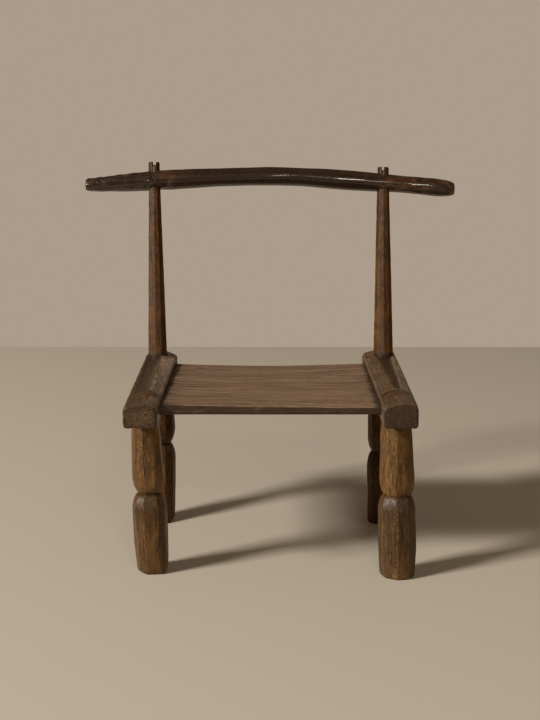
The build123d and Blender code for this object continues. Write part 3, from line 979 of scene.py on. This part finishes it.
posts, legs, rails = {}, {}, {}
for side in SIDES:
    rails[side] = rail_blank(side)
    leg_obj, foot, rail_ring = front_leg(side, LEG_SEEDS[side], LEG_CRACKS[side], rails[side])
    lean = np.array([rail_ring[1] - foot[1], rail_ring[2] - foot[2], rail_ring[0] - foot[0]])
    lay_grain(leg_obj, (foot[1] + 9, foot[2] - 5, 0), lean)
    legs[side] = leg_obj, (foot, rail_ring)
    posts[side] = upright(side, UPRIGHT_SEEDS[side], UPRIGHT_CRACKS[side])

seat_box = [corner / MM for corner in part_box("seat_plank")]
place(seat(), "seat_plank", "seat_wood")
place(crest([posts[side][1] for side in SIDES]), "crest_rail", "crest_wood")
for side in SIDES:
    leg_obj, leg = legs[side]
    upright_obj, post = posts[side]
    rail_obj = rails[side]
    drill_rail(rail_obj, side, leg, post, seat_box)
    lay_grain(rail_obj, (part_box(f"side_rail_{side}")[0].x / MM, 0, 200), (0, 1, 0))
    wedge_obj = slot_and_wedge(side, post, upright_obj)
    neck, shoulder = post
    lean = np.array([shoulder[1] - neck[1], shoulder[2] - neck[2], shoulder[0] - neck[0]])
    lay_grain(upright_obj, (neck[1] + 7, neck[2] - 4, neck[0]), lean)
    place(leg_obj, f"front_leg_{side}", "leg_wood")
    place(upright_obj, f"back_upright_{side}", "upright_wood")
    place(rail_obj, f"side_rail_{side}", "rail_wood")
    place(wedge_obj, f"crest_wedge_{side}", "wedge_wood")


# ---- Floor, light and camera ----------------------------------------------------------

FLOOR = dict(left=-2.6, right=2.6, front=-2.9, back=1.617)
FLOOR_COLOUR, WALL_COLOUR, AMBIENT = (0.585, 0.520, 0.415), (0.410, 0.330, 0.257), (0.140, 0.108, 0.076)
floor_mesh = bpy.data.meshes.new("floor")
floor_corners = [
    (FLOOR[x], FLOOR[y], 0)
    for x, y in (("left", "front"), ("right", "front"), ("right", "back"), ("left", "back"))
]
floor_mesh.from_pydata(floor_corners, [], [(0, 1, 2, 3)])
floor = bpy.data.objects.new("floor", floor_mesh)
bpy.context.scene.collection.objects.link(floor)
floor_material = bpy.data.materials.new("floor")
floor_material.use_nodes = True
floor_shader = floor_material.node_tree.nodes["Principled BSDF"]
floor_shader.inputs["Roughness"].default_value = 0.55
floor_shader.inputs["Specular IOR Level"].default_value = 0.25
floor_shader.inputs["Base Color"].default_value = (*FLOOR_COLOUR, 1)
floor.data.materials.append(floor_material)


def area_light(name, place_at, aim, width, height, power, colour):
    """A softbox of that width and height in metres, aimed at a point."""
    data = bpy.data.lights.new(name, "AREA")
    data.shape = "RECTANGLE"
    data.size, data.size_y = width, height
    data.energy, data.color = power, colour
    lamp = bpy.data.objects.new(name, data)
    lamp.location = place_at
    lamp.rotation_euler = (aim - place_at).to_track_quat("-Z", "Y").to_euler()
    lamp.visible_camera = False
    bpy.context.scene.collection.objects.link(lamp)
    return lamp


KEY_WAY, KEY_DISTANCE = Vector((-0.747, -0.368, 0.553)), 8.0
SEAT_MIDDLE, CREST_MIDDLE = Vector((0, 0, 0.25)), Vector((0.15, 0.22, 0.54))
area_light("key", SEAT_MIDDLE + KEY_WAY * KEY_DISTANCE, SEAT_MIDDLE, 1.6, 1.6, 650, (1.0, 0.965, 0.92))
area_light("softbox", Vector((0.46, -2.9, 1.72)), CREST_MIDDLE, 0.46, 0.24, 11, (1.0, 0.90, 0.78))

# Even light from all round, and a plain pale wall behind for the camera
world = bpy.data.worlds.new("room")
bpy.context.scene.world = world
world.use_nodes = True
tree = world.node_tree
background = tree.nodes["Background"]
rays = tree.nodes.new("ShaderNodeLightPath")
backdrop = tree.nodes.new("ShaderNodeMix")
backdrop.data_type = "RGBA"
backdrop.inputs[6].default_value = (*AMBIENT, 1)
backdrop.inputs[7].default_value = (*WALL_COLOUR, 1)
tree.links.new(rays.outputs["Is Camera Ray"], backdrop.inputs[0])
tree.links.new(backdrop.outputs[2], background.inputs["Color"])
background.inputs["Strength"].default_value = 1.0

camera = bpy.data.objects.new("camera", bpy.data.cameras.new("camera"))
camera.data.lens, camera.data.sensor_width = 72.5, 36.0
camera.location = (0.0, -2.2385, 0.714)
CAMERA_DOWN = 11.0057
camera.rotation_euler = (radians(90 - CAMERA_DOWN), 0, 0)
bpy.context.scene.collection.objects.link(camera)
bpy.context.scene.camera = camera
bpy.context.scene.view_settings.view_transform = "Standard"
